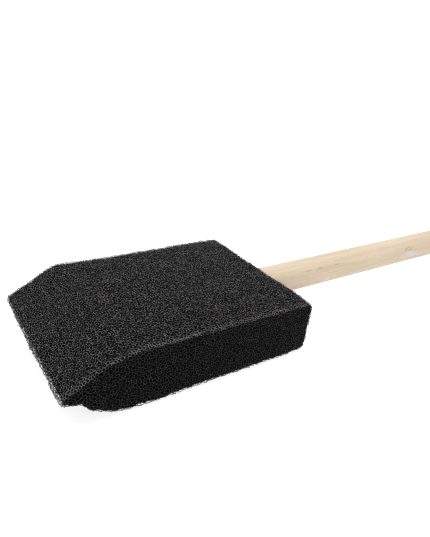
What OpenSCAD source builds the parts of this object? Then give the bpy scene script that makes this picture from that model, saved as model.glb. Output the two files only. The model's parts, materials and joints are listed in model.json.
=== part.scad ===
// Foam sponge brush on a wooden dowel handle.
// A flat plastic stiffener is stapled into a saw kerf in the dowel and glued into a slit in the foam.
// Millimetres. +X runs from the foam's tip towards the handle's butt, +Z is up.
// The foam's flat bottom lies at Z = 0, and the origin is the middle of the whole brush.

/* [Foam head] */
// Width of the foam across the brush
foam_w = 50; // [42:1:100]
// Thickness of the foam block
foam_t = 15.5; // [12.5:0.5:24]
// Length of the full-thickness foam, from the rear face to the knee
foam_flat_len = 58.5; // [48:0.5:90]
// Length of the wedge in front of the knee
bevel_len = 13.5; // [8:0.5:30]
// Thickness left at the tip edge
tip_edge_t = 1.2; // [0.6:0.1:4]

/* [Flexing tip] */
// Full-thickness foam between the knee and the bend line
bend_setback = 6.5; // [3:0.5:8]
// Largest bend of the tip, each way, in degrees
bend_deg = 30; // [15:1:35]
// Clearance between the tip and its seat in the foam
bend_gap = 0.3; // [0.2:0.05:0.5]

/* [Handle] */
// Diameter of the dowel
dowel_d = 10; // [9:0.5:12]
// Length of dowel outside the foam
handle_out = 113; // [60:1:250]
// Depth to which the dowel goes into the foam
socket_depth = 18; // [15:1:24]
// Diameter of the dowel's tapered end, inside the foam
dowel_end_d = 8.6; // [8.4:0.1:8.9]
// Rounding of the butt end
butt_round = 3; // [1:0.5:4]
// Solid wood between the end of the saw kerf and the foam's rear face
kerf_short = 2.5; // [1:0.5:3]
// Foam left above the dowel, which sets the height of the dowel and of all that is fixed to it
dowel_cover = 1.15; // [0.8:0.05:5]

/* [Stiffener] */
// Thickness of the plastic plate
plate_t = 1; // [0.6:0.1:1.6]
// Width of the plate
plate_w = 36; // [24:1:40]
// Foam left between the bend seat and the plate's front edge
plate_to_bend = 4; // [2:0.5:6]
// Radius of the plate's front corners
plate_corner_r = 6; // [4:0.5:9]
// Length of the sloping shoulders
shoulder_len = 7; // [3:0.5:8]
// Width of the tang, which goes into the dowel's kerf
tang_w = 7.4; // [5:0.1:8]

/* [Staple] */
// Diameter of the staple wire
wire_d = 0.9; // [0.6:0.1:1.2]
// Distance between the staple's legs
staple_span = 7; // [5:0.5:9]
// Distance from the dowel's front end to the first leg
staple_setback = 4; // [3:0.5:5]
// Inside radius of the staple's two corners
staple_bend_r = 0.6; // [0.3:0.1:1]
// Wood left under the points of the legs
staple_floor = 1; // [0.6:0.1:2]

/* [Glue] */
// Thickness of each glue film
glue_t = 0.3; // [0.2:0.05:0.6]
// Margin of bare plate around a glue film
glue_margin = 3; // [1:0.5:4]
// Distance by which a glue film stops short of the dowel
glue_setback = 1; // [0.5:0.5:2]

/* [Clearances] */
// Around the dowel in the foam
dowel_gap = 0.1; // [0.05:0.05:0.3]
// Around the plate in the foam and in the kerf
plate_gap = 0.1; // [0.05:0.05:0.2]
// Around the staple wire in the wood and in the tang
wire_gap = 0.05; // [0.03:0.01:0.1]

/* [Hidden] */
$fn = 96;

// Stations along the brush
overall_len = bevel_len + foam_flat_len + handle_out;
tip_x = -overall_len / 2;
knee_x = tip_x + bevel_len;
bend_x = knee_x + bend_setback;
foam_rear_x = knee_x + foam_flat_len;
dowel_front_x = foam_rear_x - socket_depth;
kerf_end_x = foam_rear_x - kerf_short;
butt_x = overall_len / 2;
mid_z = foam_t / 2;
core_z = foam_t - dowel_cover - dowel_gap - dowel_d / 2;

// The bend
tip_r = foam_t / 2;
seat_r = tip_r + bend_gap;
plate_front_x = bend_x + seat_r + plate_to_bend;
shoulder_x = dowel_front_x - shoulder_len;

// The staple
leg_front_x = dowel_front_x + staple_setback;
leg_rear_x = leg_front_x + staple_span;
wire_r = wire_d / 2;
corner_r = staple_bend_r + wire_r;
crown_z = dowel_end_d / 2 - wire_r - wire_gap;
leg_bottom_z = -dowel_end_d / 2 + staple_floor;

// How far a cutting shape stands past the face that it cuts
over = 1;
// How far two outlines that make one piece lap
lap = 0.1;

// Stands a shape that was drawn along +Z on the dowel's axis, with its base at x
module on_axis(x) {
    translate([x, 0, core_z]) rotate([0, 90, 0]) children();
}

// Lays a flat outline in the plate's plane, with its middle at a height above that plane
module in_plane(thickness, height = 0) {
    translate([0, 0, core_z + height - thickness / 2]) linear_extrude(thickness) children();
}

// Stands an outline that was drawn in X and Z upright, as wide as the foam or wider
module across(width) {
    translate([0, width / 2, 0]) rotate([90, 0, 0]) linear_extrude(width) children();
}

// Dowel with a tapered front end and a rounded butt, solid, grown by a clearance
module dowel_blank(grow = 0) {
    radius = dowel_d / 2 + grow;
    run = butt_x - foam_rear_x;
    on_axis(dowel_front_x - grow) {
        cylinder(h = socket_depth + grow, r1 = dowel_end_d / 2 + grow, r2 = radius);
    }
    on_axis(foam_rear_x) rotate_extrude() {
        square([radius - butt_round, run]);
        square([radius, run - butt_round]);
        translate([radius - butt_round, run - butt_round]) intersection() {
            circle(butt_round);
            square(butt_round);
        }
    }
}

// The staple's wire as one bent piece, thickened by a clearance
module staple_wire(grow = 0) {
    radius = wire_r + grow;
    translate([0, 0, core_z]) {
        translate([leg_front_x + corner_r, 0, crown_z]) rotate([0, 90, 0]) {
            cylinder(h = staple_span - 2 * corner_r, r = radius);
        }
        for (leg_x = [leg_front_x, leg_rear_x]) {
            translate([leg_x, 0, leg_bottom_z - grow]) {
                cylinder(h = crown_z - corner_r - leg_bottom_z + grow, r = radius);
            }
        }
        staple_corner(leg_front_x + corner_r, 90, radius);
        staple_corner(leg_rear_x - corner_r, 0, radius);
    }
}

// A quarter turn of wire between the crown and a leg
module staple_corner(x, start_deg, radius) {
    translate([x, 0, crown_z - corner_r]) rotate([90, 0, 0]) rotate([0, 0, start_deg]) {
        rotate_extrude(angle = 90) translate([corner_r, 0]) circle(radius, $fn = 32);
    }
}

// Outline of a blade with rounded front corners, whose shoulders slope down to a neck
module paddle(width, front_x, neck_x, neck_w, corner) {
    run = shoulder_x - front_x;
    bend = min(corner, 0.9 * run);
    translate([front_x + bend, -width / 2]) square([run - bend, width]);
    translate([front_x, bend - width / 2]) square([bend + lap, width - 2 * bend]);
    for (side = [-1, 1]) {
        translate([front_x + bend, side * (width / 2 - bend)]) circle(bend);
    }
    polygon([[shoulder_x - lap, -width / 2], [shoulder_x, -width / 2], [neck_x, -neck_w / 2],
             [neck_x, neck_w / 2], [shoulder_x, width / 2], [shoulder_x - lap, width / 2]]);
}

// The plate's whole outline, with its tang, grown by a clearance
module plate_outline(grow = 0) {
    paddle(plate_w + 2 * grow, plate_front_x - grow, dowel_front_x, tang_w + 2 * grow,
           plate_corner_r + grow);
    translate([dowel_front_x - lap, -tang_w / 2 - grow]) {
        square([kerf_end_x - plate_gap - dowel_front_x + lap + grow, tang_w + 2 * grow]);
    }
}

// Outline of a glue film, grown by a clearance
module glue_outline(grow = 0) {
    paddle(plate_w - 2 * glue_margin + 2 * grow, plate_front_x + glue_margin - grow,
           dowel_front_x - glue_setback + grow, tang_w - glue_margin + 2 * grow,
           plate_corner_r - glue_margin / 2 + grow);
}

// The way down for the staple, open above its crown and its legs
module staple_entry(grow) {
    radius = wire_r + grow;
    translate([leg_front_x, -radius, core_z + crown_z]) cube([staple_span, 2 * radius, dowel_d / 2]);
    for (leg_x = [leg_front_x, leg_rear_x]) {
        translate([leg_x, 0, core_z + crown_z - corner_r]) cylinder(h = dowel_d / 2, r = radius);
    }
}

// Birch dowel, sawn for the tang and stapled through it
module handle() {
    color("wheat") difference() {
        dowel_blank();
        translate([dowel_front_x - over, -dowel_d, core_z - plate_t / 2 - plate_gap]) {
            cube([kerf_end_x - dowel_front_x + over, 2 * dowel_d, plate_t + 2 * plate_gap]);
        }
        staple_wire(wire_gap);
        staple_entry(wire_gap);
    }
}

// Flat plastic plate whose tang goes into the kerf
module stiffener() {
    color("ghostwhite") difference() {
        in_plane(plate_t) plate_outline();
        for (leg_x = [leg_front_x, leg_rear_x]) {
            translate([leg_x, 0, core_z - plate_t / 2 - over]) {
                cylinder(h = plate_t + 2 * over, r = wire_r + wire_gap);
            }
        }
    }
}

// Steel wire staple through the dowel and the tang, sunk under the dowel's surface
module staple() {
    color("silver") staple_wire();
}

// Hot-melt film between the plate and the foam above it or below it
module glue_film(side) {
    color("tan") in_plane(glue_t, side * (plate_t + glue_t) / 2) glue_outline();
}

module glue_upper() {
    glue_film(1);
}

module glue_lower() {
    glue_film(-1);
}

// Everything that the tip and its flat faces sweep, in the block's front, with clearance
module bend_seat() {
    width = foam_w + 2 * over;
    translate([bend_x, 0, mid_z]) across(width) {
        circle(seat_r);
        for (turn = [-bend_deg, bend_deg]) {
            rotate(turn) translate([-foam_t, -seat_r]) square([foam_t, 2 * seat_r]);
        }
    }
}

// Main foam block: slit for the plate and its glue, bored for the dowel
module foam_block() {
    color([0.13, 0.13, 0.13]) difference() {
        translate([bend_x, -foam_w / 2, 0]) cube([foam_rear_x - bend_x, foam_w, foam_t]);
        bend_seat();
        dowel_blank(dowel_gap);
        in_plane(plate_t + 2 * plate_gap) plate_outline(plate_gap);
        in_plane(plate_t + 2 * glue_t) glue_outline(plate_gap);
    }
}

// Free tip of the foam: the wedge, a short flat stretch and the round that turns in the block
module foam_tip() {
    color([0.16, 0.16, 0.16]) across(foam_w) {
        polygon([[tip_x, mid_z - tip_edge_t / 2], [knee_x, 0], [bend_x, 0],
                 [bend_x, foam_t], [knee_x, foam_t], [tip_x, mid_z + tip_edge_t / 2]]);
        translate([bend_x, mid_z]) circle(tip_r);
    }
}

handle();
stiffener();
staple();
glue_upper();
glue_lower();
foam_block();
foam_tip();
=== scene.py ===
# %% [markdown]
# # A foam sponge brush
#
# A disposable paint brush is a wedge of black open-cell foam on a plain birch dowel. A plastic
# plate inside the foam keeps it flat, and a staple and hot glue hold it all together.
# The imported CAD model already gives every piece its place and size. This lesson gives the foam
# real cells that light passes through, and gives the wood, the plate, the wire and the glue their
# finishes. Lengths are in metres. +X runs from the foam's tip to the dowel's butt, and +Z is up.

# %% Load the frame
import bpy
import bmesh
import json
import math
import numpy as np
from mathutils import Matrix, Vector


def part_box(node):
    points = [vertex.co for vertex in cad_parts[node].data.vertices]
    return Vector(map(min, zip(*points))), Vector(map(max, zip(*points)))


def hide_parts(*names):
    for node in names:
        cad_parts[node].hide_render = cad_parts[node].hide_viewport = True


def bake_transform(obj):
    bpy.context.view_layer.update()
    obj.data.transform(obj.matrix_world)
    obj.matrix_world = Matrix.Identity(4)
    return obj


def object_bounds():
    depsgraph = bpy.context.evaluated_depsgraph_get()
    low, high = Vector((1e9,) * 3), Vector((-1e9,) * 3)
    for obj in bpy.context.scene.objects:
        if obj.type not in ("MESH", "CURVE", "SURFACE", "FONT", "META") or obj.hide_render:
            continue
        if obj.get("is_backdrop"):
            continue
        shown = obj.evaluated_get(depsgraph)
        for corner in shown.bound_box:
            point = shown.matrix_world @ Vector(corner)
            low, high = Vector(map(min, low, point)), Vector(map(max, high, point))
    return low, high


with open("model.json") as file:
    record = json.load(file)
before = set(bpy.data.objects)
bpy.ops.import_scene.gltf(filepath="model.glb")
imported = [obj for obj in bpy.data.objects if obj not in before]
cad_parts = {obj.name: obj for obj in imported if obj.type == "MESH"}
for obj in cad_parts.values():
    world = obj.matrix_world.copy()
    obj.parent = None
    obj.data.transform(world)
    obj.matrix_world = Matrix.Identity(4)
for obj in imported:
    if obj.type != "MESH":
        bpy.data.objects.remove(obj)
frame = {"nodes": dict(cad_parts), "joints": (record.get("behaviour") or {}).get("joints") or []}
MM = 0.001
cad_box = [list(corner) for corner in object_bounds()]

# %% [markdown]
# ## Where things are
#
# A model that follows another one should read its places and not repeat them. The foam's outline
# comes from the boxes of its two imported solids, the line about which its tip bends comes from the
# joint, and the dowel's radius from the dowel's own box.

# %% Places from the frame
_, block_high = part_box("foam_block")
tip_low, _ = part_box("foam_tip")
dowel_low, dowel_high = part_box("handle")
TIP_X = tip_low[0]
REAR_X = block_high[0]
HALF_W = block_high[1]
THICK = block_high[2]
MID_Z = THICK / 2
DOWEL_R = dowel_high[1]
DOWEL_Z = (dowel_low[2] + dowel_high[2]) / 2
BEND_X = frame["joints"][0]["pos_m"][0]
BEND_SETBACK = 6.5 * MM  # full-thickness foam in front of the bend line
KNEE_X = BEND_X - BEND_SETBACK  # where the full thickness ends and the wedge starts
TIP_EDGE = 1.2 * MM  # thickness left at the tip
print("foam from", round(TIP_X / MM, 1), "to", round(REAR_X / MM, 1), "mm")


# %% [markdown]
# ## The camera
#
# The camera stands low on the near side of the tip and looks along the brush towards the handle.
# A small roll makes the dowel climb to the right, as it does for someone who leans over a bench.
# The camera's three axes are worked out one by one, so that the roll is one plain number.

# %% Camera
def camera(place, azimuth, elevation, roll, lens):
    """A camera at a place, which looks back along the given angles, in degrees."""
    turn, rise, lean = (math.radians(angle) for angle in (azimuth, elevation, roll))
    back = Vector((math.sin(turn) * math.cos(rise), -math.cos(turn) * math.cos(rise), math.sin(rise)))
    level = Vector((math.cos(turn), math.sin(turn), 0.0))
    upright = back.cross(level)
    right = level * math.cos(lean) + upright * math.sin(lean)
    up = upright * math.cos(lean) - level * math.sin(lean)
    data = bpy.data.cameras.new("camera")
    data.lens = lens
    data.clip_start = 5 * MM
    obj = bpy.data.objects.new("camera", data)
    obj.matrix_world = Matrix.Translation(place) @ Matrix((right, up, back)).transposed().to_4x4()
    bpy.context.scene.collection.objects.link(obj)
    bpy.context.scene.camera = obj


camera(Vector((-115.9, -107.3, 83.6)) * MM, azimuth=-36.2, elevation=26.1, roll=6.1, lens=32.6)
print("camera at", [round(v / MM, 1) for v in bpy.context.scene.camera.matrix_world.translation], "mm")


# %% [markdown]
# ## Selecting and applying
#
# Blender's operators act on whatever is selected, so each step starts by picking one object. A
# modifier is added, set and applied in one call. Copies get a mesh of their own, so that shaping
# one never changes the other.

# %% Selection and modifier helpers
def pick(obj):
    for other in list(bpy.context.selected_objects):
        other.select_set(False)
    obj.select_set(True)
    bpy.context.view_layer.objects.active = obj


def apply_modifier(obj, kind, **settings):
    pick(obj)
    modifier = obj.modifiers.new("step", kind)
    for name, value in settings.items():
        setattr(modifier, name, value)
    bpy.ops.object.modifier_apply(modifier=modifier.name)


def copy_of(obj, name):
    twin = obj.copy()
    twin.data = obj.data.copy()
    twin.name = name
    twin.data.name = name
    bpy.context.scene.collection.objects.link(twin)
    return twin


def triangles(obj):
    return sum(len(face.vertices) - 2 for face in obj.data.polygons)


pick(frame["nodes"]["handle"])
print("helpers ready, the dowel alone is selected:", len(bpy.context.selected_objects) == 1)


# %% [markdown]
# ## Points as arrays
#
# Some shaping is easier on all the points at once. NumPy reads a mesh's points into one array,
# moves them by a formula, and writes them back.

# %% Point helpers
WAVE_COUNT = 9


def values_of(items, name):
    """One vector of each vertex, face or corner, as the rows of an array."""
    flat = np.empty(len(items) * 3)
    items.foreach_get(name, flat)
    return flat.reshape(-1, 3)


def set_points(obj, points):
    obj.data.vertices.foreach_set("co", points.astype(np.float32).ravel())
    obj.data.update()


def ease(low, high, values):
    """0 below low, 1 above high and smooth between them."""
    part = np.clip((values - low) / (high - low), 0, 1)
    return part * part * (3 - 2 * part)


def waves(points, size, seed):
    """Smooth seeded noise, about -1 to 1, as a sum of plane waves some size apart."""
    rng = np.random.default_rng(seed)
    total = np.zeros(len(points))
    for _ in range(WAVE_COUNT):
        direction = rng.normal(size=3)
        direction *= 2 * math.pi / size / np.linalg.norm(direction) * rng.uniform(0.6, 1.5)
        total += np.sin(points @ direction + rng.uniform(0, 2 * math.pi))
    return total / math.sqrt(WAVE_COUNT)


print("the dowel's mesh has", len(values_of(frame["nodes"]["handle"].data.vertices, "co")), "points")


# %% [markdown]
# ## The foam's form
#
# The head is sawn from a sheet of foam and its tip is cut to a wedge with a hot wire. It could be
# drawn as an outline and extruded, but a box that is cut and squeezed keeps clean faces. A cube
# is bisected at the knee, its tip end is squeezed to a thin edge, and then the knees are bevelled
# wide and the rear edges less, because foam gives at every corner.

# %% The wedge
UPPER_KNEE = 5.0 * MM
LOWER_KNEE = 2.0 * MM
UPPER_HEEL = 0.6 * MM
LOWER_HEEL = 1.2 * MM
ROUND_STEPS = 6
ON_PLANE = 0.001 * MM


def select_by_middle(obj, kind, test):
    """In edit mode, selects the vertices or edges whose middle passes a test, and nothing else."""
    bpy.ops.mesh.select_mode(type=kind)
    bpy.ops.mesh.select_all(action="DESELECT")
    mesh = bmesh.from_edit_mesh(obj.data)
    for vert in mesh.verts if kind == "VERT" else []:
        vert.select = test(vert.co)
    for edge in mesh.edges if kind == "EDGE" else []:
        edge.select = test((edge.verts[0].co + edge.verts[1].co) / 2)
    mesh.select_flush_mode()
    bmesh.update_edit_mesh(obj.data)


def crosswise_at(x, z):
    """A test for the edge that runs straight across the foam at one x and z."""
    return lambda middle: (middle - Vector((x, 0, z))).length < ON_PLANE


def wedge():
    bpy.ops.mesh.primitive_cube_add(size=1, location=((TIP_X + REAR_X) / 2, 0, MID_Z))
    form = bpy.context.object
    form.name = "foam_form"
    pick(form)
    form.scale = (REAR_X - TIP_X, 2 * HALF_W, THICK)
    bpy.ops.object.transform_apply(location=True, rotation=True, scale=True)
    bpy.ops.object.mode_set(mode="EDIT")
    bpy.ops.mesh.select_all(action="SELECT")
    bpy.ops.mesh.bisect(plane_co=(KNEE_X, 0, 0), plane_no=(1, 0, 0))
    select_by_middle(form, "VERT", lambda point: point.x < TIP_X + ON_PLANE)
    bpy.ops.transform.resize(value=(1, 1, TIP_EDGE / THICK), center_override=(TIP_X, 0, MID_Z))
    rounds = ((KNEE_X, THICK, UPPER_KNEE), (KNEE_X, 0, LOWER_KNEE), (REAR_X, THICK, UPPER_HEEL),
              (REAR_X, 0, LOWER_HEEL))
    for x, z, offset in rounds:
        select_by_middle(form, "EDGE", crosswise_at(x, z))
        bpy.ops.mesh.bevel(offset=offset, segments=ROUND_STEPS, affect="EDGES")
    bpy.ops.object.mode_set(mode="OBJECT")
    return form


form = wedge()
print("wedge", [round(side / MM, 2) for side in form.dimensions], "mm")


# %% [markdown]
# ## Soft and worn
#
# A box has nowhere to bend, so a voxel remesh gives it an even skin of points first. Real foam
# swells a little past its nominal size, and its cut wanders by a tenth of a millimetre. The tip
# bows out in the middle, and on the near side its corner stands a step proud over a short thin
# lip. Behind the lip the underside hangs in a shallow belly. The knee's crest stands higher on
# the far side, the near top edge sags towards the rear, and the rear face has a soft bulge. All
# of these are judged from one side, so their depth along that line of sight is a guess.

# %% Unevenness
SKIN_VOXEL = 0.5 * MM
SWELL = np.array([0.1, 0.32, 0.32]) * MM
WANDER = 0.12 * MM
WANDER_SIZE = 14 * MM
TIP_BOW = 0.55 * MM
STEP_OUT = 0.45 * MM
STEP_WIDTH = 8.5 * MM
STEP_FADE = 0.4 * MM
LIP_LENGTH = 4.2 * MM
LIP_FADE = 1.8 * MM
LIP_SLOPE = 0.2
BELLY = 0.5 * MM
CREST = 0.6 * MM
CREST_REACH = 5 * MM
SAG = 1.0 * MM
SAG_REACH = 5 * MM
SAG_PAST_REAR = 8 * MM
BULGE = 1.3 * MM
BULGE_Y = -20 * MM
BULGE_REACH = 8 * MM


def hump(values, centre, reach):
    """1 at the centre, falling off smoothly to both sides."""
    return np.exp(-(((values - centre) / reach) ** 2))


def soften(form):
    apply_modifier(form, "REMESH", mode="VOXEL", voxel_size=SKIN_VOXEL)
    points = values_of(form.data.vertices, "co")
    x, y, z = points.T.copy()
    from_near_side = y + HALF_W
    near_tip = np.clip((KNEE_X - x) / (KNEE_X - TIP_X), 0, 1)
    corner = 1 - ease(STEP_WIDTH - STEP_FADE, STEP_WIDTH + STEP_FADE, from_near_side)
    centre = np.array([(TIP_X + REAR_X) / 2, 0, MID_Z])
    half_sizes = np.array([REAR_X - centre[0], HALF_W, MID_Z])
    points = centre + (points - centre) * (1 + SWELL / half_sizes)
    points[:, 0] -= TIP_BOW * near_tip * (1 - (y / HALF_W) ** 2)
    points[:, 0] -= STEP_OUT * near_tip**2 * corner
    lip = 1 - ease(LIP_LENGTH, LIP_LENGTH + LIP_FADE, x - TIP_X)
    lip *= 1 - ease(0, HALF_W, from_near_side)
    lip_depth = TIP_EDGE / 2 + LIP_SLOPE * (x - TIP_X)
    points[:, 2] += lip * np.clip(MID_Z - lip_depth - z, 0, None)
    points[:, 2] -= BELLY * np.sin(math.pi * near_tip) * (z < MID_Z)
    crest = hump(x, KNEE_X, CREST_REACH) * ease(0, HALF_W, y)
    points[:, 2] += CREST * crest * (z > MID_Z)
    sag = ease(KNEE_X, REAR_X + SAG_PAST_REAR, x) * np.exp(-from_near_side / SAG_REACH)
    points[:, 2] -= SAG * sag * np.clip(z / MID_Z - 1, 0, None)
    near_rear = ease(KNEE_X, REAR_X, x) ** 4
    points[:, 0] += BULGE * near_rear * hump(y, BULGE_Y, BULGE_REACH)
    for axis in range(3):
        points[:, axis] += WANDER * waves(points, WANDER_SIZE, seed=axis)
    set_points(form, points)


soften(form)
print("softened wedge", len(form.data.vertices), "points")


# %% [markdown]
# ## Foam cells
#
# Open-cell foam is a net of thin struts round pores, about one to a millimetre here. A bump map
# would look right only from far away, so the net is real. The recipe is Blender's own: a coarse
# remesh gives even points, Randomize shakes them out of their rows, and Shrinkwrap puts them back
# on the surface. The Dual Mesh node then turns every point into one many-sided pore.

# %% Pore skins
SHAKE = 0.4  # of a pore


def dual_mesh_group():
    group = bpy.data.node_groups.new("pores_from_points", "GeometryNodeTree")
    group.interface.new_socket("Geometry", in_out="INPUT", socket_type="NodeSocketGeometry")
    group.interface.new_socket("Geometry", in_out="OUTPUT", socket_type="NodeSocketGeometry")
    source = group.nodes.new("NodeGroupInput")
    dual = group.nodes.new("GeometryNodeDualMesh")
    result = group.nodes.new("NodeGroupOutput")
    group.links.new(source.outputs[0], dual.inputs["Mesh"])
    group.links.new(dual.outputs[0], result.inputs[0])
    return group


def pore_skin(form, name, pore, depth, seed):
    """A closed skin of pores of one size, each one face, at some depth under the form's surface."""
    skin = copy_of(form, name)
    apply_modifier(skin, "DISPLACE", strength=-depth, mid_level=0)
    target = copy_of(skin, name + "_target")
    apply_modifier(skin, "REMESH", mode="VOXEL", voxel_size=pore)
    bpy.ops.object.mode_set(mode="EDIT")
    bpy.ops.mesh.select_all(action="SELECT")
    bpy.ops.transform.vertex_random(offset=SHAKE * pore, uniform=1.0, normal=0.0, seed=seed)
    bpy.ops.object.mode_set(mode="OBJECT")
    apply_modifier(skin, "SHRINKWRAP", target=target, wrap_method="NEAREST_SURFACEPOINT")
    bpy.ops.object.mode_set(mode="EDIT")
    bpy.ops.mesh.select_all(action="SELECT")
    bpy.ops.mesh.quads_convert_to_tris(quad_method="SHORTEST_DIAGONAL")
    bpy.ops.object.mode_set(mode="OBJECT")
    apply_modifier(skin, "NODES", node_group=pores_from_points)
    bpy.data.objects.remove(target)
    return skin


pores_from_points = dual_mesh_group()
cells = pore_skin(form, "foam_cells", pore=0.78 * MM, depth=0.02 * MM, seed=5)
under_cells = pore_skin(form, "foam_under_cells", pore=0.95 * MM, depth=0.2 * MM, seed=11)
print("pores", len(cells.data.polygons), "outside and", len(under_cells.data.polygons), "under them")


# %% [markdown]
# ## Struts
#
# A cut through foam meets each cell at a different height and leaves struts of different
# thickness. So the points move in and out at random, a vertex group carries a random weight, and
# the Wireframe modifier turns the pores' edges into struts by that weight.

# %% Struts
STRUT = 0.17 * MM
THINNEST = 0.45  # of the thickest strut
RAGGED = 0.1 * MM


def make_struts(skin, seed):
    rng = np.random.default_rng(seed)
    points = values_of(skin.data.vertices, "co")
    normals = values_of(skin.data.vertices, "normal")
    set_points(skin, points + normals * rng.normal(0, RAGGED, (len(points), 1)))
    group = skin.vertex_groups.new(name="thickness")
    for index, weight in enumerate(rng.uniform(THINNEST, 1, len(points))):
        group.add([index], weight, "REPLACE")
    apply_modifier(skin, "WIREFRAME", thickness=STRUT, use_even_offset=False,
                   vertex_group="thickness")
    skin.vertex_groups.clear()
    bpy.ops.object.shade_smooth()


make_struts(cells, seed=3)
make_struts(under_cells, seed=4)
print("struts", triangles(cells), "and", triangles(under_cells), "triangles")


# %% [markdown]
# ## Nets in parts
#
# A net of four hundred thousand triangles is too heavy for one piece, so the nets are parted at
# half the foam's thickness, and the finer one halfway along too. Separating cuts some struts
# open, and Fill Holes closes their ends.

# %% Parting the nets
def part_at(net, axis, value, below, above):
    """Parts a net across one axis into two closed pieces, named for their ends."""
    pick(net)
    bpy.ops.object.mode_set(mode="EDIT")
    bpy.ops.mesh.select_mode(type="FACE")
    bpy.ops.mesh.select_all(action="DESELECT")
    mesh = bmesh.from_edit_mesh(net.data)
    for face in mesh.faces:
        face.select = face.calc_center_median()[axis] < value
    bmesh.update_edit_mesh(net.data)
    bpy.ops.mesh.separate(type="SELECTED")
    bpy.ops.object.mode_set(mode="OBJECT")
    other = next(obj for obj in bpy.context.selected_objects if obj != net)
    name = net.name
    for part, end in ((net, above), (other, below)):
        part.name = name + "_" + end
        part.data.name = part.name
        pick(part)
        bpy.ops.object.mode_set(mode="EDIT")
        bpy.ops.mesh.select_all(action="SELECT")
        bpy.ops.mesh.fill_holes(sides=0)
        bpy.ops.object.mode_set(mode="OBJECT")
    return [net, other]


nets = part_at(under_cells, 2, MID_Z, "lower", "upper")
for half in part_at(cells, 2, MID_Z, "lower", "upper"):
    nets += part_at(half, 0, (TIP_X + REAR_X) / 2, "front", "rear")
for net in nets:
    print(net.name, triangles(net), "triangles")


# %% [markdown]
# ## The foam's dark inside
#
# Deeper cells are too dark to tell apart. One closed core stands for them, and its near-black
# colour is painted shade. It is the form again, drawn in under the nets and wrinkled by two sizes
# of noise. It stops short of the tip's edge, so that the edge is see-through, as thin foam is.

# %% Core
CORE_DEPTH = 0.3 * MM
CORE_VOXEL = 0.4 * MM
CORE_WRINKLE = 0.08 * MM
COARSE_WRINKLE_SIZE = 1.6 * MM
FINE_WRINKLE_SIZE = 0.9 * MM
TIP_CLEAR = 0.45 * MM


def foam_core(form):
    core = copy_of(form, "foam_core")
    apply_modifier(core, "DISPLACE", strength=-CORE_DEPTH, mid_level=0)
    apply_modifier(core, "REMESH", mode="VOXEL", voxel_size=CORE_VOXEL)
    points = values_of(core.data.vertices, "co")
    normals = values_of(core.data.vertices, "normal")
    wrinkle = waves(points, COARSE_WRINKLE_SIZE, seed=21) + waves(points, FINE_WRINKLE_SIZE, seed=22)
    points += normals * (CORE_WRINKLE * wrinkle)[:, None]
    points[:, 0] = np.maximum(points[:, 0], TIP_X + TIP_CLEAR + 3 * CORE_WRINKLE * wrinkle)
    set_points(core, points)
    pick(core)
    bpy.ops.object.shade_smooth()
    return core


core = foam_core(form)
bpy.data.objects.remove(form)
foam_pieces = nets + [core]
print("core", triangles(core), "triangles")


# %% [markdown]
# ## A map for the foam
#
# Anyone who bakes the foam's colours needs a flat map of it. Unwrapping would tear the nets into
# countless islands. Seen from above, each half lies flat already. Its side walls
# are folded outwards by as much as they drop, and the lower half lies beside the upper one.

# %% Flat map
BESIDE = 2.6 * HALF_W  # from the upper half's middle to the lower one's


def lay_flat(piece):
    points = values_of(piece.data.vertices, "co")
    middle_x = (TIP_X + REAR_X) / 2
    lower = points[:, 2] < MID_Z
    drop = np.where(lower, points[:, 2], THICK - points[:, 2]).clip(0)
    across = points[:, 1] * (1 + drop / HALF_W)
    along = (points[:, 0] - middle_x) * (1 + drop / (REAR_X - middle_x))
    flat = np.stack([across + BESIDE * lower, along], axis=1)
    flat = (flat - flat.min(axis=0)) / (flat.max(axis=0) - flat.min(axis=0))
    corners = np.empty(len(piece.data.loops), dtype=np.int32)
    piece.data.loops.foreach_get("vertex_index", corners)
    layer = piece.data.uv_layers.new(name="OFBake")
    layer.uv.foreach_set("vector", flat[corners].astype(np.float32).ravel())


for piece in foam_pieces:
    lay_flat(piece)
print("maps", [piece.data.uv_layers[0].name for piece in foam_pieces])


# %% [markdown]
# ## Shader maths in plain Python
#
# Wiring nodes one by one hides what a material does. This small class wraps one output socket.
# Its operators add Math nodes, so 1 - mask works, and its node method adds any other node: the
# settings go in first, then each input's value or link.

# %% Signals
class Signal:
    def __init__(self, tree, socket=None):
        self.tree = tree
        self.socket = socket

    def node(self, kind, settings, inputs, out=0):
        made = self.tree.nodes.new("ShaderNode" + kind)
        for name, value in settings.items():
            setattr(made, name, value)
        for name, value in inputs.items():
            if isinstance(value, Signal):
                self.tree.links.new(value.socket, made.inputs[name])
            else:
                made.inputs[name].default_value = value
        return Signal(self.tree, made.outputs[out])

    def maths(self, operation, left, right):
        return self.node("Math", {"operation": operation}, {0: left, 1: right})

    def __add__(self, other):
        return self.maths("ADD", self, other)

    def __sub__(self, other):
        return self.maths("SUBTRACT", self, other)

    def __rsub__(self, other):
        return self.maths("SUBTRACT", other, self)

    def __mul__(self, other):
        return self.maths("MULTIPLY", self, other)

    __radd__ = __add__
    __rmul__ = __mul__


# %% [markdown]
# ## The words of every finish
#
# Each finish below is said in a few words: where a point is, how noisy it is there, how a value
# is stretched to a mask, and how a mask mixes two colours. Only what changes over the surface is
# linked. What is the same all over is set on the shader itself.

# %% Finish helpers
def new_finish(name, constants):
    """A material with constants on its shader's own sockets, and the signal of its places."""
    material = bpy.data.materials.new(name)
    material.use_nodes = True
    for socket, value in constants.items():
        material.node_tree.nodes["Principled BSDF"].inputs[socket].default_value = value
    return material, Signal(material.node_tree).node("TexCoord", {}, {}, out="Object")


def feed(material, socket, signal):
    shader = material.node_tree.nodes["Principled BSDF"]
    material.node_tree.links.new(signal.socket, shader.inputs[socket])


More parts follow.
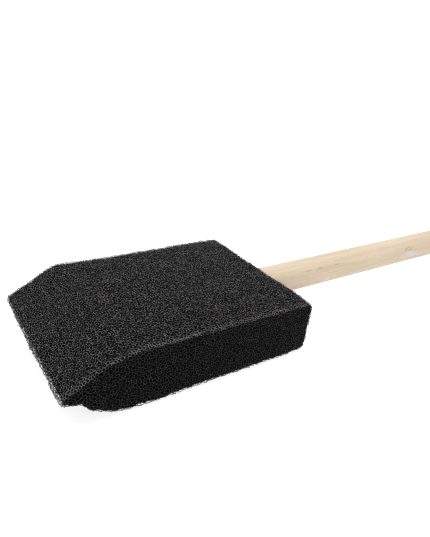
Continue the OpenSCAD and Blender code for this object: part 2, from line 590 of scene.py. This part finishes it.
def noise(place, spots, detail=2.0):
    """Noise whose spots are this long along X, Y and Z."""
    scaled = place.node("VectorMath", {"operation": "DIVIDE"}, {0: place, 1: spots})
    return place.node("TexNoise", {}, {"Vector": scaled, "Scale": 1.0, "Detail": detail})


def mask(signal, low, high):
    """0 where a signal is at low and 1 where it is at high, smooth between them."""
    return signal.node("MapRange", {"interpolation_type": "SMOOTHSTEP"},
                       {"Value": signal, "From Min": low, "From Max": high})


def tint(amount, colour, other):
    """One colour turning into another as amount goes from 0 to 1."""
    pair = [part if isinstance(part, Signal) else (*part, 1.0) for part in (colour, other)]
    return amount.node("Mix", {"data_type": "RGBA"}, {0: amount, 6: pair[0], 7: pair[1]}, out=2)


def relief(height, depth):
    """Normals for a height from 0 to 1 that is this deep."""
    return height.node("Bump", {}, {"Height": height, "Strength": 1.0, "Distance": depth})


print("finish helpers ready")


# %% [markdown]
# ## Black foam
#
# Polyurethane foam is dyed black in the mass. Each strut is smooth and a little glossy. The colour
# changes from strut to strut between near black and a warm grey, with brighter sparks here and there:
# these are painted highlights for the light that glossy struts catch. Cells along the long edges of the
# broad faces are paler, in patches. The side walls are painted darker than the broad faces, by more
# than the light makes them: this is painted shade. The deeper net and the core are darker still, as
# painted shade, because little light comes back from them.

# %% Foam
# Cells along the long edges of the broad faces are paler, in patches.
EDGE_PALE_FULLY = 0.8 * MM  # from an edge
EDGE_PALE_WIDTH = 2.4 * MM
EDGE_PALER = 0.35
# Painted shade: the side walls are coloured darker than the broad faces.
SIDE_SHADE_FROM = HALF_W - 0.3 * MM
SIDE_SHADE_FADE = 0.4 * MM
SIDE_SHADE_DARKER = 0.8
# Painted highlights: pale specks and brighter sparks on the struts, for the light that glossy struts catch.
HIGHLIGHT_SPECK_SIZE = 0.4 * MM
GLINT_SPARK_SIZE = 0.24 * MM
GLINT_SPARK_SHARE = 0.8
EDGE_PATCH_SIZE = 2.5 * MM
CLOUD_SIZE = 5 * MM
CLOUD_DARKER = 0.25
GLOSS_PATCH_SIZE = 1.2 * MM


def foam_places(place):
    """1 along the long edges of the broad faces, fading inwards, and 1 on the side walls, where shade is
    painted.
    """
    parts = place.node("SeparateXYZ", {}, {0: place})
    x, y, z = (Signal(parts.tree, output) for output in parts.socket.node.outputs)
    slope = (THICK - TIP_EDGE) / 2 / (KNEE_X - TIP_X)
    half_thick = x.maths("MINIMUM", TIP_EDGE / 2 + slope * (x - TIP_X), MID_Z)
    aside = y.maths("ABSOLUTE", y, 0.0)
    to_side = aside - HALF_W
    to_face = z.maths("ABSOLUTE", z - MID_Z, 0.0) - half_thick
    to_edge = x.maths("POWER", to_side * to_side + to_face * to_face, 0.5)
    pale_edge_band = 1 - mask(to_edge, EDGE_PALE_FULLY, EDGE_PALE_WIDTH)
    return pale_edge_band, mask(aside, SIDE_SHADE_FROM, SIDE_SHADE_FROM + SIDE_SHADE_FADE)


def foam(name, dark, pale, glint, gloss):
    material, place = new_finish(name, {"Specular IOR Level": gloss})
    edge, side_shade = foam_places(place)
    # Painted highlights: pale specks and brighter sparks stand for the light that glossy struts catch.
    highlight_speck = mask(noise(place, (HIGHLIGHT_SPECK_SIZE,) * 3, detail=1.0), 0.4, 0.68)
    glint_spark = mask(noise(place, (GLINT_SPARK_SIZE,) * 3, detail=0.0), 0.6, 0.72)
    cloud = mask(noise(place, (CLOUD_SIZE,) * 3), 0.3, 0.7)
    # Random mottling and the painted shade of the side walls dim the painted highlights.
    mottle_and_side_shade = (1 - CLOUD_DARKER + cloud * CLOUD_DARKER) * (1 - side_shade * SIDE_SHADE_DARKER)
    strut = tint(highlight_speck * mottle_and_side_shade, dark, pale)
    strut = tint(glint_spark * mottle_and_side_shade * GLINT_SPARK_SHARE, strut, glint)
    # Paler patches along the long edges of the broad faces.
    pale_patches = edge * (1 - side_shade) * mask(noise(place, (EDGE_PATCH_SIZE,) * 3), 0.25, 0.5)
    feed(material, "Base Color", tint(pale_patches * EDGE_PALER, strut, glint))
    feed(material, "Roughness", 0.35 + 0.3 * noise(place, (GLOSS_PATCH_SIZE,) * 3))
    return material


foam_finishes = {
    "foam_cells": foam("foam_struts", (0.017, 0.0157, 0.0163), (0.168, 0.158, 0.16),
                       (0.42, 0.405, 0.395), 0.2),
    # Painted shade: the deeper net and the core are coloured darker than the outer struts.
    "foam_under_cells": foam("foam_deep_struts_painted_shade", (0.005, 0.0047, 0.0048), (0.028, 0.026, 0.0265),
                             (0.05, 0.048, 0.045), 0.04),
    "foam_core": foam("foam_dark", (0.0012,) * 3, (0.003,) * 3, (0.004,) * 3, 0.02),
}
print("foam finishes", [material.name for material in foam_finishes.values()])


# %% [markdown]
# ## Foam on the brush
#
# Every foam piece gets the finish of the net it comes from, and its place is baked into its points.
# The core stands for both CAD solids of the foam, which are then hidden.


def put_on_brush(piece):
    net = next(name for name in foam_finishes if piece.name.startswith(name))
    piece.data.materials.clear()
    piece.data.materials.append(foam_finishes[net])
    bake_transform(piece)


for piece in foam_pieces:
    put_on_brush(piece)
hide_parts("foam_block", "foam_tip")
print("foam pieces", [piece.name for piece in foam_pieces])


# %% [markdown]
# ## Birch
#
# The dowel is turned from birch and left bare. Birch is pale and even, with long soft streaks,
# short fine pores along the grain, and now and then a fleck of resin or bark. Grain could be a
# wave pattern, but birch has hardly any rings on its long faces, so noise stretched along X does
# better. Flecks are small stretched balls round a point of the surface.

# %% Places on the dowel
def on_dowel(x, angle):
    """A point of the dowel's surface, at x and at an angle from +Y over the top, in degrees."""
    turn = math.radians(angle)
    return (x, DOWEL_R * math.cos(turn), DOWEL_Z + DOWEL_R * math.sin(turn))


def fleck(place, centre, half_sizes):
    """1 at the centre of a stretched ball and 0 outside it."""
    offset = place.node("VectorMath", {"operation": "SUBTRACT"}, {0: place, 1: centre})
    scaled = place.node("VectorMath", {"operation": "DIVIDE"}, {0: offset, 1: half_sizes})
    length = place.node("VectorMath", {"operation": "LENGTH"}, {0: scaled}, out="Value")
    return 1 - mask(length, 0.3, 1.0)


print("top of the dowel at its butt", [round(v / MM, 2) for v in on_dowel(dowel_high[0], 90)])

# %% Birch finish
PALE_BIRCH = (0.665, 0.55, 0.415)
DEEP_BIRCH = (0.6, 0.48, 0.345)
PORE_BROWN = (0.50, 0.38, 0.25)
BARK_BROWN = (0.36, 0.25, 0.13)
RESIN_YELLOW = (0.76, 0.56, 0.22)
LAVENDER_GREY = (0.64, 0.60, 0.615)
# Each mark has its x in mm, its angle in degrees, and its half length, depth and height in mm
DARK_LINE = (8, 144, (13, 0.6, 0.6))
SMALL_KNOT = (55, 152, (4, 0.9, 0.9))
RESIN_DROPS = ((-11.5, 134, (1.8, 0.9, 0.9)), (11.5, 124, (1.8, 0.9, 0.9)))
# Two pale lavender-grey patches on the near side of the dowel.
LONG_PALE_PATCH = (55.5, 180, (8, 1.5, 1.8))
SHORT_PALE_PATCH = (9, 203, (2.5, 1.2, 1.2))


def mark(place, x, angle, half_sizes):
    return fleck(place, on_dowel(x * MM, angle), tuple(size * MM for size in half_sizes))


def birch():
    material, place = new_finish("birch_wood", {"Specular IOR Level": 0.3})
    streaks = noise(place, (30 * MM, 1.6 * MM, 1.6 * MM), detail=4.0)
    fibres = noise(place, (9 * MM, 0.35 * MM, 0.35 * MM), detail=3.0)
    pores = mask(noise(place, (2.4 * MM, 0.14 * MM, 0.14 * MM), detail=1.0), 0.62, 0.72)
    broken = mask(noise(place, (2.6 * MM, 0.7 * MM, 0.7 * MM)), 0.4, 0.62)
    colour = tint(mask(streaks, 0.35, 0.68), PALE_BIRCH, DEEP_BIRCH)
    colour = tint(mask(fibres, 0.5, 0.8) * 0.35, colour, DEEP_BIRCH)
    colour = tint(pores * 0.3, colour, PORE_BROWN)
    line = mark(place, *DARK_LINE)
    knot = mark(place, *SMALL_KNOT)
    colour = tint((line * 0.6 + knot * 0.8) * broken, colour, BARK_BROWN)
    for drop in RESIN_DROPS:
        colour = tint(mark(place, *drop) * 0.4, colour, RESIN_YELLOW)
    # Pale lavender-grey patches on the near side.
    pale_patches = mark(place, *LONG_PALE_PATCH) + mark(place, *SHORT_PALE_PATCH)
    patchy = mask(noise(place, (3 * MM, 1.5 * MM, 1.5 * MM)), 0.3, 0.55)
    colour = tint(mask(pale_patches, 0.05, 0.6) * patchy * 0.75, colour, LAVENDER_GREY)
    feed(material, "Base Color", colour)
    feed(material, "Roughness", 0.5 + 0.25 * fibres + 0.1 * pores)
    feed(material, "Normal", relief(fibres - 0.5 * pores, 0.05 * MM))
    return material


frame["nodes"]["handle"].material_slots[0].material = birch()
print("dowel finish", frame["nodes"]["handle"].material_slots[0].material.name)


# %% [markdown]
# ## Plate, wire and glue
#
# The hidden pieces get true finishes too, for whoever takes the brush apart. The plate is
# moulded polypropylene, slightly milky, with faint flow marks. The staple is galvanised wire with
# drawing lines and dull spots. The hot glue sets amber and glossy, with a wavy face.

# %% Hidden finishes
def polypropylene():
    material, place = new_finish("white_plastic", {"Specular IOR Level": 0.5, "Subsurface Weight": 0.1,
                                                   "Subsurface Scale": 0.5 * MM})
    flow = noise(place, (16 * MM, 3 * MM, 3 * MM))
    feed(material, "Base Color", tint(mask(flow, 0.3, 0.7), (0.86, 0.86, 0.84), (0.80, 0.80, 0.78)))
    feed(material, "Roughness", 0.34 + 0.16 * noise(place, (0.6 * MM,) * 3))
    feed(material, "Normal", relief(noise(place, (0.3 * MM,) * 3), 0.01 * MM))
    return material


def galvanised():
    material, place = new_finish("staple_wire", {"Metallic": 1.0})
    lines = noise(place, (2.5 * MM, 0.06 * MM, 2.5 * MM))
    dull = mask(noise(place, (0.8 * MM,) * 3), 0.4, 0.65)
    feed(material, "Base Color", tint(dull, (0.66, 0.66, 0.68), (0.50, 0.50, 0.52)))
    feed(material, "Roughness", 0.22 + 0.2 * lines + 0.2 * dull)
    feed(material, "Normal", relief(lines, 0.01 * MM))
    return material


def hot_glue():
    material, place = new_finish("hot_melt_glue", {"Roughness": 0.18, "Coat Weight": 0.3})
    thick = noise(place, (4 * MM,) * 3)
    feed(material, "Base Color", tint(mask(thick, 0.3, 0.7), (0.82, 0.70, 0.44), (0.70, 0.52, 0.24)))
    feed(material, "Normal", relief(noise(place, (1.8 * MM,) * 3), 0.12 * MM))
    return material


glue_finish = hot_glue()
hidden_finishes = {"stiffener": polypropylene(), "staple": galvanised(), "glue_upper": glue_finish,
                   "glue_lower": glue_finish}
for node, finish in hidden_finishes.items():
    frame["nodes"][node].material_slots[0].material = finish
print("hidden finishes", {node: finish.name for node, finish in hidden_finishes.items()})


# %% [markdown]
# ## Floor and light
#
# The brush lies on a wide white floor with a glow of its own, like a light table, so that shadows
# stay faint. A lamp with a wide disc, far overhead, lights the foam's flat top well and its
# sides less, which shows the form. The world is evenly white, so the backdrop is white from
# every side.

# %% Stage
FLOOR_SIDE = 60
FLOOR_GLOW = 0.8
KEY_STRENGTH = 1.1
KEY_DISC = 70  # degrees across
FLOOR_Z = -0.55 * MM  # the lowest struts sink a little into it


def white_floor():
    bpy.ops.mesh.primitive_plane_add(size=FLOOR_SIDE, location=(0, 0, FLOOR_Z))
    floor = bpy.context.object
    floor.name = "floor"
    material, place = new_finish("floor", {"Roughness": 0.9, "Specular IOR Level": 0.1,
                                           "Emission Color": (1, 1, 1, 1), "Emission Strength": FLOOR_GLOW})
    feed(material, "Base Color", tint(noise(place, (0.4,) * 3), (0.30, 0.30, 0.30), (0.32, 0.32, 0.32)))
    floor.data.materials.append(material)
    floor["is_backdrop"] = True


def soft_key(towards):
    data = bpy.data.lights.new("key", "SUN")
    data.energy = KEY_STRENGTH
    data.angle = math.radians(KEY_DISC)
    lamp = bpy.data.objects.new("key", data)
    lamp.rotation_euler = Vector(towards).to_track_quat("Z", "Y").to_euler()
    bpy.context.scene.collection.objects.link(lamp)


def white_world():
    world = bpy.data.worlds.new("studio")
    bpy.context.scene.world = world
    world.use_nodes = True
    world.node_tree.nodes["Background"].inputs["Color"].default_value = (1, 1, 1, 1)
    world.node_tree.nodes["Background"].inputs["Strength"].default_value = 1.0


white_floor()
soft_key((-0.08, 0.15, 0.55))
white_world()
print("stage set, floor", FLOOR_SIDE, "m wide")

# %% [markdown]
# ## Colour handling
#
# The Standard view transform keeps white white and black foam neutral. The denoiser would smear
# cells this fine, so it works without its prefilter, and a narrower filter keeps struts crisp.

# %% View and denoiser
bpy.context.scene.view_settings.view_transform = "Standard"
bpy.context.scene.cycles.denoising_prefilter = "NONE"
bpy.context.scene.cycles.filter_width = 1.25
print("view", bpy.context.scene.view_settings.view_transform)

# %% [markdown]
# ## Finish
#
# The dressed model's box is measured and set against the CAD model's box, and the difference is printed.
# The dressed model must not outgrow the CAD model.

# %% Sizes and finish
visual_box = [list(corner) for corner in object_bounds()]
growth = [[round((v - c) / MM, 2) for v, c in zip(*pair)] for pair in zip(visual_box, cad_box)]
print("the visual box differs from the CAD box by", growth, "mm")
